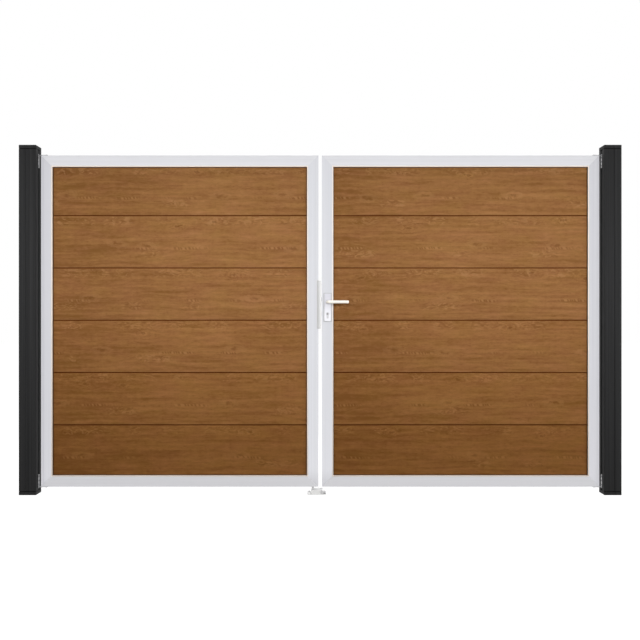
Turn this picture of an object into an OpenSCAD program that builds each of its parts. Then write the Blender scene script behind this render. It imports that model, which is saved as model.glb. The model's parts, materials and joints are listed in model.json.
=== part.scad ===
// Double fence gate: two framed leaves with horizontal tongue-and-groove boards, hung between two
// square posts. Millimetres. The origin is the middle of the left post's foot on the ground, +X runs
// to the right post, +Y runs inwards (the leaves open that way) and +Z is up. The right side repeats
// the left one, mirrored about the middle of the gateway.

/* [Leaves] */
// Width of one leaf over its frame
leaf_w = 1512; // [1000:1:2000]
// Height of one leaf over its frame
leaf_h = 1806; // [1400:1:2300]
// Clearance between the ground and the frame
ground_gap = 41; // [38:1:90]
// Gap between the two leaves where they meet
meeting_gap = 19; // [16:0.5:30]
// Gap between a leaf and its post
hinge_gap = 18.5; // [16:0.5:40]

/* [Frame] */
// Face width of the frame section, seen from the front
frame_face = 62; // [50:1:90]
// Depth of the frame section, front to back
frame_d = 40; // [33:1:60]
// Wall of the frame section
frame_wall = 2.5; // [1.5:0.1:4]
// Depth of the groove that holds the boards
groove_d = 15; // [12:1:20]
// Play of a board in the groove, on each face
board_fit = 0.5; // [0.2:0.1:1.5]
// Small bevel along the inner edge of the frame's faces
lip_bevel = 1; // [0.5:0.1:2]

/* [Boards] */
// Thickness of a board
board_t = 20; // [14:0.5:25]
// Height of the open joint between two boards
seam_h = 5; // [2:0.5:8]
// Thickness of the tongue
tongue_t = 8; // [5:0.5:10]
// How far the tongue reaches into the next board
tongue_h = 9; // [5:0.5:15]
// Play between a tongue and its groove, on each side and at the end
tongue_fit = 0.5; // [0.2:0.1:1]
// Bevel on the long edges of a board
board_bevel = 1.5; // [0.5:0.1:3]
// How far the lowest board reaches into the bottom rail
board_seat = 9.5; // [3:0.5:10]
// How far a board end reaches into a stile, and the top board into the top rail
board_entry = 10; // [6:0.5:11]
// How much less the top board shows than a full one
top_short = 23; // [0:1:60]

/* [Posts] */
// Side of the square post
post_w = 95; // [70:1:140]
// How far the post stands above the leaf
post_rise = 53; // [30:1:200]
// Wall of the post
post_wall = 3; // [2:0.5:5]
// Radius of the post's upright edges
post_r = 5; // [2:0.5:10]
// Width of the shallow channel down each face
channel_w = 20; // [19:0.5:30]
// Depth of the channel
channel_d = 3; // [2:0.5:5]
// Height of the cap, and of the foot
cap_h = 20; // [10:1:40]
// Height of the shadow joint between a cap and the post
reveal_h = 2; // [1:0.5:4]
// Depth of the shadow joint
reveal_d = 3.5; // [2:0.5:5]
// Bevel around the cap's top
cap_bevel = 2; // [0.5:0.5:5]
// Length of the plug that holds a cap in the post
plug_l = 30; // [15:1:60]
// Play of the plug in the post
plug_fit = 0.3; // [0.1:0.1:1]

/* [Hinges] */
// Width of the hinge's strap and arm, along the depth of the gate
strap_w = 18; // [14:0.5:19]
// Thickness of the strap
strap_t = 4; // [4:0.5:8]
// Length of the strap on the post
strap_h = 73; // [50:1:140]
// How far the strap runs past the arm
strap_over = 4; // [2:0.5:10]
// Thickness of the arm
arm_t = 3.5; // [3:0.5:8]
// Gap between the arm and the leaf
arm_gap = 1.5; // [1.2:0.1:4]
// Radius of the pivot pin
pin_r = 6; // [4:0.5:7]
// How far the pin reaches into the leaf
pin_l = 30; // [15:1:50]
// Running clearance of the pin in its bush
pin_fit = 0.05; // [0.02:0.01:0.1]
// Wall of a bush
bush_wall = 3; // [2:0.5:4]
// Length of a bush inside the frame
bush_l = 36; // [20:1:55]
// Width of a bush's flange beyond its body
flange_w = 3; // [1:0.5:4]
// Thickness of a bush's flange
flange_t = 1; // [0.5:0.1:1.2]

/* [Lock] */
// Height of the lever's spindle above the ground
lever_z = 1048; // [800:1:1200]
// How far the cylinder sits below the spindle
cylinder_drop = 65; // [50:1:90]
// Radius of the cylinder's round part
cylinder_r = 8.5; // [7:0.5:10]
// Full height of the cylinder's section
cylinder_h = 33; // [28:1:36]
// Width of the cylinder's web
cylinder_web = 10; // [8:0.5:12]
// How far the cylinder stands proud of a handle plate
cylinder_proud = 2; // [1:0.5:5]
// Width of the keyway in the cylinder's round part
keyway_w = 3; // [2:0.5:4]
// Height of the keyway
keyway_h = 9; // [6:0.5:12]
// Depth of the keyway
keyway_d = 25; // [10:1:26]
// Play of the cylinder and the forend in their cut-outs
lock_fit = 0.3; // [0.1:0.1:0.8]
// Width of the handle plate
plate_w = 36; // [30:1:48]
// Height of the handle plate
plate_h = 149; // [140:1:260]
// Thickness of the handle plate
plate_t = 8; // [4:0.5:12]
// How far the middle of the handle plate sits below the spindle
plate_drop = 29; // [20:1:40]
// Corner radius of the handle plate
plate_r = 6; // [2:0.5:15]
// Radius of the lever's neck
neck_r = 8; // [7:0.5:10]
// Play of the neck in the handle plate
neck_fit = 0.5; // [0.2:0.1:1]
// How far the neck seats in the handle plate
neck_seat = 5; // [2:0.5:6]
// Radius of the lever's grip
grip_r = 9; // [7:0.5:12]
// Clear space for the fingers behind the grip
finger_gap = 21; // [18:1:50]
// Reach of the lever from its spindle to its tip
lever_l = 115; // [90:1:150]
// Side of the square spindle
spindle_w = 8; // [7:0.5:10]
// Height of the lock's forend
forend_h = 235; // [180:1:280]
// Width of the forend
forend_w = 22; // [18:1:24]
// Height of the latch and of the dead bolt
latch_h = 22; // [15:1:30]
// Thickness of the latch and of the dead bolt
latch_t = 14; // [10:1:18]
// How far the latch stands out of the forend when it is held back
latch_proud = 2; // [1:0.5:3]
// Height of the latch above the spindle
latch_rise = 16; // [10:1:30]
// How far the dead bolt stands out of the forend when it is drawn back
dead_bolt_proud = 1; // [0.5:0.5:2]

/* [Strike] */
// Height of the strike on the other leaf
strike_h = 262; // [240:1:320]
// How far the middle of the strike sits below the spindle
strike_drop = 14; // [0:1:30]
// Clear gap between the strike and the leaf that closes on it
strike_gap = 5.3; // [4:0.1:7]
// How far the strike stands proud of the frame's face
strike_proud = 6; // [3:0.5:8]
// How far the strike's lip laps over the frame's face
strike_lap = 8.5; // [5:0.5:14]
// Thickness that the lip thins down to
strike_lip_t = 1; // [0.5:0.1:2]
// Depth of the pockets for the latch and the dead bolt
pocket_d = 9; // [6:0.5:10]
// Play around the latch in its pocket
pocket_fit = 2; // [1:0.5:4]

/* [Drop bolt] */
// Radius of the drop bolt's rod
rod_r = 5; // [4:0.5:6]
// Length of the rod
rod_l = 500; // [300:1:700]
// Play of the rod in its guide
rod_fit = 0.4; // [0.2:0.1:1]
// Wall of the guide bush
guide_wall = 2.5; // [1.5:0.5:3]
// Length of the guide inside the frame
guide_l = 30; // [15:1:45]
// Clear gap between the raised rod and the floor keeper
rod_gap = 5; // [4:0.5:10]
// How far the rod stops above the ground when it is down
rod_stop = 5; // [3:0.5:10]
// Radius of the stem that joins the rod to its knob
stem_r = 4; // [3:0.5:5]
// Play of the stem in its slot
stem_fit = 0.6; // [0.3:0.1:1]
// How far the stem sits below the rod's top end
stem_drop = 30; // [15:1:60]
// Radius of the knob
knob_r = 13; // [9:0.5:18]
// Length of the knob
knob_l = 22; // [12:1:35]
// Gap between the knob and the slotted plate
knob_gap = 5; // [5:0.5:15]
// Width of the slotted plate
slot_plate_w = 30; // [24:1:40]
// Height of the slotted plate
slot_plate_h = 110; // [80:1:160]
// Thickness of the slotted plate
slot_plate_t = 2.5; // [1.5:0.5:4]

/* [Floor keeper] */
// Height of the keeper's block
keeper_h = 26; // [20:1:30]
// Depth of the keeper, front to back
keeper_d = 76; // [60:1:110]
// Width of the keeper's block
block_w = 48.5; // [40:0.5:70]
// Wall between the bolt socket and the block's side
socket_wall = 2; // [2:0.5:15]
// Play of the rod in its socket
socket_fit = 2.5; // [2:0.5:4]
// Thickness of the keeper's floor plate
floor_plate_t = 6; // [4:0.5:10]
// How far the floor plate runs out on each side
floor_plate_out = 20; // [15:1:40]
// Corner radius of the floor plate
floor_plate_r = 8; // [3:0.5:15]
// Radius of the four anchor holes in the floor plate
anchor_r = 4.5; // [3:0.5:5]
// How far the anchor holes sit from the floor plate's edges
anchor_inset = 10; // [8:0.5:10]
// Slit between the block and the buffer
buffer_gap = 3.5; // [2:0.5:8]
// Width of the buffer
buffer_w = 11; // [8:0.5:20]

/* [Hidden] */
BOARDS = 6;
BOARD_NAMES = [for (side = ["left", "right"], i = [1:BOARDS]) str(side, "_board_", i)];

// Colours
POST_COLOUR = "#323234";
FRAME_COLOUR = "#dcdde2";
BOARD_COLOUR = "#8f6439";
STEEL_COLOUR = "#c8c9cc";
HANDLE_COLOUR = "#f0f0f2";
BUFFER_COLOUR = "#a8a8a8";

// Overshoot of a cut past the face it opens
EPS = 1;
ROUND = 64;

// The gateway
opening_w = 2 * leaf_w + meeting_gap + 2 * hinge_gap;
post_pitch = opening_w + post_w;
post_h = ground_gap + leaf_h + post_rise;

// The left leaf's frame
leaf_x0 = post_w / 2 + hinge_gap;
leaf_x1 = leaf_x0 + leaf_w;
leaf_z0 = ground_gap;
leaf_z1 = ground_gap + leaf_h;
hollow_w = frame_face - groove_d - 2 * frame_wall;
groove_w = board_t + 2 * board_fit;
stile_mid_x = leaf_x1 - frame_face / 2;
pivot_x = leaf_x0 + frame_wall + hollow_w / 2;

// The boards
panel_h = leaf_h - 2 * frame_face;
board_z0 = leaf_z0 + frame_face - board_seat;
board_pitch = (panel_h + board_seat + top_short) / BOARDS;
board_x0 = leaf_x0 + frame_face - board_entry;
board_l = leaf_w - 2 * (frame_face - board_entry);
top_board_h = leaf_z1 - frame_face + board_entry - board_z0 - (BOARDS - 1) * board_pitch;

// The lock
cylinder_z = lever_z - cylinder_drop;
latch_z = lever_z + latch_rise;
plate_z = lever_z - plate_drop;
plate_y = frame_d / 2 + plate_t;
grip_y = plate_y + finger_gap + grip_r;
strike_z = lever_z - strike_drop;
forend_z = strike_z;
dead_bolt_z = cylinder_z;
strike_w = meeting_gap - strike_gap;
cylinder_l = 2 * (plate_y + cylinder_proud);

// The drop bolt
rod_tip_z = keeper_h + rod_gap;
rod_travel = rod_tip_z - rod_stop;
guide_r = rod_r + rod_fit + guide_wall;
stem_z = rod_tip_z + rod_l - stem_drop;
slot_r = stem_r + stem_fit;
slot_plate_y = frame_d / 2 + slot_plate_t;
socket_r = rod_r + socket_fit;
block_x0 = stile_mid_x - socket_r - socket_wall;
buffer_x0 = block_x0 + block_w + buffer_gap;
floor_plate_x0 = block_x0 - floor_plate_out;
floor_plate_x1 = buffer_x0 + buffer_w + floor_plate_out;

// Draws its children where the right half has the mirror image of the left half
module across() {
    translate([post_pitch, 0, 0])
        mirror([1, 0, 0])
            children();
}

// A rectangle about the origin with round corners
module rounded_rectangle(w, h, r) {
    square([w - 2 * r, h], center = true);
    square([w, h - 2 * r], center = true);
    for (x = [-1, 1], y = [-1, 1])
        translate([x * (w / 2 - r), y * (h / 2 - r)])
            circle(r, $fn = ROUND);
}

// A plate in the XZ plane about the origin, whose face is at y = 0 and whose back is at y = t
module upright_plate(w, h, r, t) {
    rotate([-90, 0, 0])
        linear_extrude(t)
            rounded_rectangle(w, h, r);
}

// The four channels in a post's outline, widened and deepened by grow
module channel_strips(grow) {
    strip_w = channel_w + 2 * grow;
    strip_d = channel_d + grow;
    for (a = [0:90:270])
        rotate(a)
            translate([post_w / 2 - strip_d, -strip_w / 2])
                square([strip_d + EPS, strip_w]);
}

// The hollow inside a post, with play all round
module post_hollow(play) {
    difference() {
        square(post_w - 2 * (post_wall + play), center = true);
        channel_strips(post_wall + play);
    }
}

module post() {
    color(POST_COLOUR)
        translate([0, 0, cap_h])
            linear_extrude(post_h - 2 * cap_h)
                difference() {
                    rounded_rectangle(post_w, post_w, post_r);
                    channel_strips(0);
                    post_hollow(0);
                }
}

// A post's end piece: its outer face is at z = 0 and its plug points up
module post_end() {
    lid_h = cap_h - reveal_h;
    neck_w = post_w - 2 * reveal_d;
    bevel_side = cap_bevel * sqrt(2);
    color(POST_COLOUR)
        union() {
            difference() {
                linear_extrude(lid_h)
                    rounded_rectangle(post_w, post_w, post_r);
                for (a = [0:90:270])
                    rotate(a)
                        translate([post_w / 2, 0, 0])
                            rotate([0, 45, 0])
                                cube([bevel_side, post_w + EPS, bevel_side], center = true);
            }
            translate([0, 0, lid_h])
                linear_extrude(reveal_h)
                    rounded_rectangle(neck_w, neck_w, post_r);
            translate([0, 0, cap_h])
                linear_extrude(plug_l)
                    post_hollow(plug_fit);
        }
}

module post_cap() {
    translate([0, 0, post_h])
        mirror([0, 0, 1])
            post_end();
}

// A hinge bracket with its arm's leaf side at z = 0 and its pin pointing down
module hinge_bracket() {
    seat_x = post_w / 2 - channel_d;
    strap_top = arm_t + strap_over;
    color(STEEL_COLOUR)
        union() {
            translate([seat_x, -strap_w / 2, strap_top - strap_h])
                cube([strap_t, strap_w, strap_h]);
            translate([seat_x, -strap_w / 2, 0])
                cube([pivot_x - seat_x, strap_w, arm_t]);
            translate([pivot_x, 0, 0])
                cylinder(h = arm_t, d = strap_w, $fn = ROUND);
            translate([pivot_x, 0, -arm_gap - pin_l])
                cylinder(h = pin_l + arm_gap + arm_t / 2, r = pin_r, $fn = ROUND);
        }
}

module top_hinge() {
    translate([0, 0, leaf_z1 + arm_gap])
        hinge_bracket();
}

module bottom_hinge() {
    translate([0, 0, leaf_z0 - arm_gap])
        mirror([0, 0, 1])
            hinge_bracket();
}

// The frame's section: x runs from the outer edge inwards, y is the depth
module frame_section() {
    bevel_side = lip_bevel * sqrt(2);
    difference() {
        translate([0, -frame_d / 2])
            square([frame_face, frame_d]);
        translate([frame_wall, -frame_d / 2 + frame_wall])
            square([hollow_w, frame_d - 2 * frame_wall]);
        translate([frame_face - groove_d, -groove_w / 2])
            square([groove_d + EPS, groove_w]);
        for (y = [-1, 1])
            translate([frame_face, y * frame_d / 2])
                rotate(45)
                    square(bevel_side, center = true);
    }
}

// A length of the frame along +Z with its outer edge at x = 0, mitred at both ends
module mitred_bar(l) {
    color(FRAME_COLOUR)
        intersection() {
            linear_extrude(l)
                frame_section();
            rotate([90, 0, 0])
                linear_extrude(frame_d + EPS, center = true)
                    polygon([[0, 0], [frame_face, frame_face], [frame_face, l - frame_face], [0, l]]);
        }
}

module hinge_stile() {
    translate([leaf_x0, 0, leaf_z0])
        mitred_bar(leaf_h);
}

module plain_meeting_stile() {
    translate([leaf_x1, 0, leaf_z0])
        mirror([1, 0, 0])
            mitred_bar(leaf_h);
}

module pivot_hole(z) {
    translate([pivot_x, 0, z])
        cylinder(h = 2 * (frame_wall + EPS), r = pin_r + bush_wall, center = true, $fn = ROUND);
}

module top_rail() {
    color(FRAME_COLOUR)
        difference() {
            translate([leaf_x0, 0, leaf_z1])
                rotate([0, 90, 0])
                    mitred_bar(leaf_w);
            pivot_hole(leaf_z1);
        }
}

module plain_bottom_rail() {
    color(FRAME_COLOUR)
        difference() {
            translate([leaf_x0, 0, leaf_z0])
                rotate([0, 90, 0])
                    mirror([1, 0, 0])
                        mitred_bar(leaf_w);
            pivot_hole(leaf_z0);
        }
}

// The bush that a pivot pin or the rod runs in: its flange's outer side is at z = 0
module flanged_bush(bore_r, wall, l) {
    color(STEEL_COLOUR)
        difference() {
            union() {
                cylinder(h = flange_t + l, r = bore_r + wall, $fn = ROUND);
                cylinder(h = flange_t, r = bore_r + wall + flange_w, $fn = ROUND);
            }
            translate([0, 0, -EPS])
                cylinder(h = flange_t + l + 2 * EPS, r = bore_r, $fn = ROUND);
        }
}

module pivot_bush() {
    flanged_bush(pin_r + pin_fit, bush_wall - pin_fit, bush_l);
}

module pivot_bushes() {
    translate([pivot_x, 0, leaf_z0 - flange_t])
        pivot_bush();
    translate([pivot_x, 0, leaf_z1 + flange_t])
        mirror([0, 0, 1])
            pivot_bush();
}

// A board's section: x is the thickness, y the height from its lower edge, with a groove below and
// a tongue above. The topmost board is cut off plain at its own height.
module board_section(i) {
    is_top = i == BOARDS;
    face_h = is_top ? top_board_h : board_pitch - seam_h;
    tongue_top = face_h + seam_h + tongue_h;
    half_t = board_t / 2;
    in_t = half_t - board_bevel;
    half_tongue = tongue_t / 2;
    half_groove = half_tongue + tongue_fit;
    face_side = [
        [half_groove, tongue_h + tongue_fit], [half_groove, 0], [in_t, 0],
        [half_t, board_bevel], [half_t, face_h - board_bevel], [in_t, face_h]
    ];
    tongue_side = is_top ? [] : [[half_tongue, face_h], [half_tongue, tongue_top]];
    one_side = concat(face_side, tongue_side);
    other_side = [for (k = [len(one_side) - 1:-1:0]) [-one_side[k][0], one_side[k][1]]];
    polygon(concat(one_side, other_side));
}

module board(i) {
    color(BOARD_COLOUR)
        translate([board_x0, 0, board_z0 + (i - 1) * board_pitch])
            rotate([90, 0, 90])
                linear_extrude(board_l)
                    board_section(i);
}

// The round-ended slot that the stem slides in, cut right through along Y
module stem_slot() {
    rotate([-90, 0, 0])
        linear_extrude(2 * frame_d, center = true) {
            translate([-slot_r, 0])
                square([2 * slot_r, rod_travel]);
            for (y = [0, rod_travel])
                translate([0, y])
                    circle(slot_r, $fn = ROUND);
        }
}

module left_meeting_stile() {
    color(FRAME_COLOUR)
        difference() {
            plain_meeting_stile();
            intersection() {
                translate([stile_mid_x, 0, stem_z])
                    stem_slot();
                translate([leaf_x0, 0, 0])
                    cube([leaf_w, frame_d, leaf_z1]);
            }
        }
}

module left_bottom_rail() {
    color(FRAME_COLOUR)
        difference() {
            plain_bottom_rail();
            translate([stile_mid_x, 0, leaf_z0])
                cylinder(h = 2 * (frame_wall + EPS), r = guide_r, center = true, $fn = ROUND);
        }
}

module drop_bolt_guide() {
    translate([stile_mid_x, 0, leaf_z0 - flange_t])
        flanged_bush(rod_r + rod_fit, guide_wall, guide_l);
}

module drop_bolt_plate() {
    color(STEEL_COLOUR)
        difference() {
            translate([stile_mid_x, frame_d / 2, stem_z - rod_travel / 2])
                upright_plate(slot_plate_w, slot_plate_h, plate_r, slot_plate_t);
            translate([stile_mid_x, 0, stem_z])
                stem_slot();
        }
}

module drop_bolt() {
    stem_l = slot_plate_y + knob_gap + knob_l / 2;
    color(STEEL_COLOUR)
        union() {
            translate([stile_mid_x, 0, rod_tip_z])
                cylinder(h = rod_l, r = rod_r, $fn = ROUND);
            translate([stile_mid_x, 0, stem_z])
                rotate([-90, 0, 0]) {
                    cylinder(h = stem_l, r = stem_r, $fn = ROUND);
                    translate([0, 0, slot_plate_y + knob_gap])
                        cylinder(h = knob_l, r = knob_r, $fn = ROUND);
                }
        }
}

// A pocket that opens towards the other leaf, to take a latch
module strike_pocket(z) {
    translate([leaf_x1 + strike_w - pocket_d, -latch_t / 2 - pocket_fit, z - latch_h / 2 - pocket_fit])
        cube([pocket_d + EPS, latch_t + 2 * pocket_fit, latch_h + 2 * pocket_fit]);
}

module strike() {
    face_y = -frame_d / 2;
    nose_y = face_y - strike_proud;
    lip_y = face_y - strike_lip_t;
    color(STEEL_COLOUR)
        difference() {
            translate([leaf_x1, 0, strike_z - strike_h / 2])
                linear_extrude(strike_h)
                    polygon([
                        [0, face_y], [-strike_lap, face_y], [-strike_lap, lip_y], [0, nose_y],
                        [strike_w, nose_y], [strike_w, frame_d / 2], [0, frame_d / 2]
                    ]);
            strike_pocket(latch_z);
            strike_pocket(dead_bolt_z);
        }
}

// The forend's place in the edge of the stile, with play all round
module forend_block(play) {
    translate([leaf_x1 - frame_wall - play, -forend_w / 2 - play, forend_z - forend_h / 2 - play])
        cube([frame_wall + 2 * play, forend_w + 2 * play, forend_h + 2 * play]);
}

module lock_forend() {
    color(STEEL_COLOUR)
        union() {
            forend_block(0);
            translate([leaf_x1 - frame_wall, 0, latch_z - latch_h / 2])
                linear_extrude(latch_h)
                    polygon([
                        [0, -latch_t / 2], [frame_wall + latch_proud, -latch_t / 2],
                        [frame_wall + latch_proud, 0], [frame_wall, latch_t / 2], [0, latch_t / 2]
                    ]);
            translate([leaf_x1 - frame_wall, -latch_t / 2, dead_bolt_z - latch_h / 2])
                cube([frame_wall + dead_bolt_proud, latch_t, latch_h]);
        }
}

// The cylinder's section, widened by play, with the middle of its round part at the origin
module cylinder_section(play) {
    web_r = cylinder_web / 2 + play;
    web_l = cylinder_h - cylinder_r - cylinder_web / 2;
    circle(cylinder_r + play, $fn = ROUND);
    translate([-web_r, -web_l])
        square([2 * web_r, web_l]);
    translate([0, -web_l])
        circle(web_r, $fn = ROUND);
}

module cylinder_bar(l, play) {
    translate([stile_mid_x, 0, cylinder_z])
        rotate([90, 0, 0])
            linear_extrude(l, center = true)
                cylinder_section(play);
}

module lock_cylinder() {
    color(STEEL_COLOUR)
        difference() {
            cylinder_bar(cylinder_l, 0);
            for (side = [-1, 1])
                translate([stile_mid_x, side * cylinder_l / 2, cylinder_z])
                    cube([keyway_w, 2 * keyway_d, keyway_h], center = true);
        }
}

// A bore along Y on the spindle's axis
module spindle_bore(r) {
    translate([stile_mid_x, 0, lever_z])
        rotate([90, 0, 0])
            cylinder(h = 4 * plate_y, r = r, center = true, $fn = ROUND);
}

// The right meeting stile, drawn on the left side
module lock_stile() {
    color(FRAME_COLOUR)
        difference() {
            plain_meeting_stile();
            forend_block(lock_fit);
            spindle_bore(neck_r + neck_fit);
            cylinder_bar(2 * frame_d, lock_fit);
        }
}

// A handle plate in front of the frame; the back one is turned about the frame's middle plane
module handle_plate() {
    color(HANDLE_COLOUR)
        difference() {
            translate([stile_mid_x, -plate_y, plate_z])
                upright_plate(plate_w, plate_h, plate_r, plate_t);
            spindle_bore(neck_r + neck_fit);
            cylinder_bar(4 * plate_y, lock_fit);
        }
}

module back_side() {
    mirror([0, 1, 0])
        children();
}

module lever() {
    neck_l = finger_gap + grip_r + neck_seat;
    color(HANDLE_COLOUR)
        translate([stile_mid_x, -grip_y, lever_z])
            union() {
                rotate([-90, 0, 0])
                    cylinder(h = neck_l, r = neck_r, $fn = ROUND);
                sphere(grip_r, $fn = ROUND);
                rotate([0, -90, 0])
                    cylinder(h = lever_l - grip_r, r = grip_r, $fn = ROUND);
                translate([grip_r - lever_l, 0, 0])
                    sphere(grip_r, $fn = ROUND);
            }
}

module spindle() {
    color(STEEL_COLOUR)
        translate([stile_mid_x, 0, lever_z])
            cube([spindle_w, 2 * (plate_y - neck_seat), spindle_w], center = true);
}

module floor_keeper() {
    color(STEEL_COLOUR)
        difference() {
            union() {
                translate([(floor_plate_x0 + floor_plate_x1) / 2, 0, 0])
                    linear_extrude(floor_plate_t)
                        rounded_rectangle(floor_plate_x1 - floor_plate_x0, keeper_d, floor_plate_r);
                translate([block_x0, -keeper_d / 2, 0])
                    cube([block_w, keeper_d, keeper_h]);
            }
            translate([stile_mid_x, 0, -EPS])
                cylinder(h = keeper_h + 2 * EPS, r = socket_r, $fn = ROUND);
            for (x = [floor_plate_x0 + anchor_inset, floor_plate_x1 - anchor_inset], side = [-1, 1])
                translate([x, side * (keeper_d / 2 - anchor_inset), -EPS])
                    cylinder(h = floor_plate_t + 2 * EPS, r = anchor_r, $fn = ROUND);
        }
}

module keeper_buffer() {
    color(BUFFER_COLOUR)
        translate([buffer_x0, -keeper_d / 2, floor_plate_t])
            cube([buffer_w, keeper_d, keeper_h - floor_plate_t]);
}

for (i = [1:BOARDS]) {
    board(i);
    across() board(i);
}
post();  // left_post
post_cap();  // left_post_cap
post_end();  // left_post_foot
across() post();  // right_post
across() post_cap();  // right_post_cap
across() post_end();  // right_post_foot
top_hinge();  // left_top_hinge
bottom_hinge();  // left_bottom_hinge
across() top_hinge();  // right_top_hinge
across() bottom_hinge();  // right_bottom_hinge
floor_keeper();
keeper_buffer();
hinge_stile();  // left_hinge_stile
left_meeting_stile();
top_rail();  // left_top_rail
left_bottom_rail();
pivot_bushes();  // left_pivot_bushes
strike();
drop_bolt_guide();
drop_bolt_plate();
drop_bolt();
across() hinge_stile();  // right_hinge_stile
across() lock_stile();  // right_meeting_stile
across() top_rail();  // right_top_rail
across() plain_bottom_rail();  // right_bottom_rail
across() pivot_bushes();  // right_pivot_bushes
across() lock_forend();
across() lock_cylinder();
across() handle_plate();  // front_handle_plate
back_side() across() handle_plate();  // back_handle_plate
across() lever();  // front_lever
back_side() across() lever();  // back_lever
across() spindle();
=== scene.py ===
import json
import math

import bmesh
import bpy
from mathutils import Matrix, Vector

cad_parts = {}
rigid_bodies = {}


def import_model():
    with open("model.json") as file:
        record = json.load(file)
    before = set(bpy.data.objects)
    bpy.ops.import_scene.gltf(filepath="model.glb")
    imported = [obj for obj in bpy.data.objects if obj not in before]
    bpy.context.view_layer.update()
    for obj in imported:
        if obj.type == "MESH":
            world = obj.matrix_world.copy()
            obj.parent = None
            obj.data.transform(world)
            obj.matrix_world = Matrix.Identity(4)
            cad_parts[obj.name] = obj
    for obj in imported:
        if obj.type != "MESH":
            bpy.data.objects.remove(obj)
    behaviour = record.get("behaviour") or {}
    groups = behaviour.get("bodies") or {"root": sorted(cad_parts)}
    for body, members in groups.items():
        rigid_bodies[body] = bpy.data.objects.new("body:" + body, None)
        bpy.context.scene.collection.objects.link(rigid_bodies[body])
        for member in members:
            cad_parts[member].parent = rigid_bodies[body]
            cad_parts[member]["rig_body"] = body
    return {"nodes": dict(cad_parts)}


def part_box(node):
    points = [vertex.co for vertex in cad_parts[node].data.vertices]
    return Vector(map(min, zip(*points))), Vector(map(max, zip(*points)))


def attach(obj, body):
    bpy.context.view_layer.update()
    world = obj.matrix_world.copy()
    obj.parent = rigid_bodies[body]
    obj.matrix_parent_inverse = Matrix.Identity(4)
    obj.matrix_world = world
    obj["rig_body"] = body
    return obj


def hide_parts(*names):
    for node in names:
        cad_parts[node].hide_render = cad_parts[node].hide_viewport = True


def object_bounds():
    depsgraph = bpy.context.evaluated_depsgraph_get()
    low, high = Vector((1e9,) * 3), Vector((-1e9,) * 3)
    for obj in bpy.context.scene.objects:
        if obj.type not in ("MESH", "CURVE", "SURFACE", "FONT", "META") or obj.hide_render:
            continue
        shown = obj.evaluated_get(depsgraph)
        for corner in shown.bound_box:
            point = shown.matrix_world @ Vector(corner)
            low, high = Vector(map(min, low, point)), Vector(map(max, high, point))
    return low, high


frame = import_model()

cad_low, cad_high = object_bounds()
nodes = frame["nodes"]
MM = 0.001


# ---------------------------------------------------------------------------------------------
# Posts: two extruded aluminium posts, 95 mm square, with a shallow channel down each face. A cap
# and a foot of the same outline plug into the ends. All have a fine matt anthracite coat, under
# which the lines of the extrusion just show.
# ---------------------------------------------------------------------------------------------
def put(tree, socket, value):
    """Links a value that comes out of another node, or sets a plain one."""
    if isinstance(value, bpy.types.NodeSocket):
        tree.links.new(value, socket)
    else:
        socket.default_value = value


def add(tree, kind, settings=None, **inputs):
    """Adds a shader node. The name of an input is written with _ for a space."""
    node = tree.nodes.new("ShaderNode" + kind)
    for name, value in (settings or {}).items():
        setattr(node, name, value)
    for name, value in inputs.items():
        put(tree, node.inputs[name.replace("_", " ")], value)
    return node


def calc(tree, operation, *values):
    """One step of arithmetic on numbers."""
    node = add(tree, "Math", {"operation": operation})
    for socket, value in zip(node.inputs, values):
        put(tree, socket, value)
    return node.outputs[0]


def calc_3d(tree, operation, first, second):
    """The same for two vectors or colours."""
    node = add(tree, "VectorMath", {"operation": operation})
    put(tree, node.inputs[0], first)
    put(tree, node.inputs[1], second)
    return node.outputs[0]


def mixed(tree, factor, first, second):
    """A colour between two others."""
    node = add(tree, "Mix", {"data_type": "RGBA"})
    for index, value in ((0, factor), (6, first), (7, second)):
        put(tree, node.inputs[index], (*value, 1.0) if isinstance(value, tuple) else value)
    return node.outputs[2]


def step_between(tree, value, low, high):
    """0 up to low, 1 from high on, and smooth between them. It falls where low is above high."""
    settings = {"interpolation_type": "SMOOTHSTEP"}
    return add(tree, "MapRange", settings, Value=value, From_Min=low, From_Max=high).outputs[0]


def blotches(tree, position, per_metre, detail=1.0, roughness=0.5):
    """Noise with so many blotches per metre along X, Y and Z."""
    scaled = calc_3d(tree, "MULTIPLY", position, per_metre)
    noise = add(tree, "TexNoise", Vector=scaled, Scale=1.0, Detail=detail, Roughness=roughness)
    return noise.outputs[0]


def effect(name, inputs, outputs):
    """A shader node group with its named inputs and the values that they start from."""
    tree = bpy.data.node_groups.new(name, "ShaderNodeTree")
    for label, value in inputs.items():
        kind = "NodeSocketVector" if isinstance(value, tuple) else "NodeSocketFloat"
        tree.interface.new_socket(label, in_out="INPUT", socket_type=kind).default_value = value
    for label in outputs:
        tree.interface.new_socket(label, in_out="OUTPUT", socket_type="NodeSocketFloat")
    given = tree.nodes.new("NodeGroupInput").outputs
    result = tree.nodes.new("NodeGroupOutput").inputs
    return tree, given, result


def make_drawn_lines():
    """Fine lines along Z, as a die leaves them, with the speckle of a coat over them."""
    inputs = {"Position": (0.0, 0.0, 0.0), "Lines": 0.1, "Speckle": 0.05}
    tree, given, result = effect("drawn_lines", inputs, ("Shade", "Height"))
    wide = blotches(tree, given["Position"], (110.0, 110.0, 0.4))
    fine = blotches(tree, given["Position"], (700.0, 700.0, 1.5))
    speck = blotches(tree, given["Position"], (900.0, 900.0, 900.0), detail=2.0)
    lines = calc(tree, "SUBTRACT", calc(tree, "ADD", wide, fine), 1.0)
    spots = calc(tree, "MULTIPLY", calc(tree, "SUBTRACT", speck, 0.5), given["Speckle"])
    shade = calc(tree, "MULTIPLY_ADD", lines, given["Lines"], spots)
    put(tree, result["Shade"], calc(tree, "ADD", shade, 1.0))
    put(tree, result["Height"], calc(tree, "MULTIPLY_ADD", fine, 0.4, speck))
    return tree


drawn_lines = make_drawn_lines()


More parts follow.
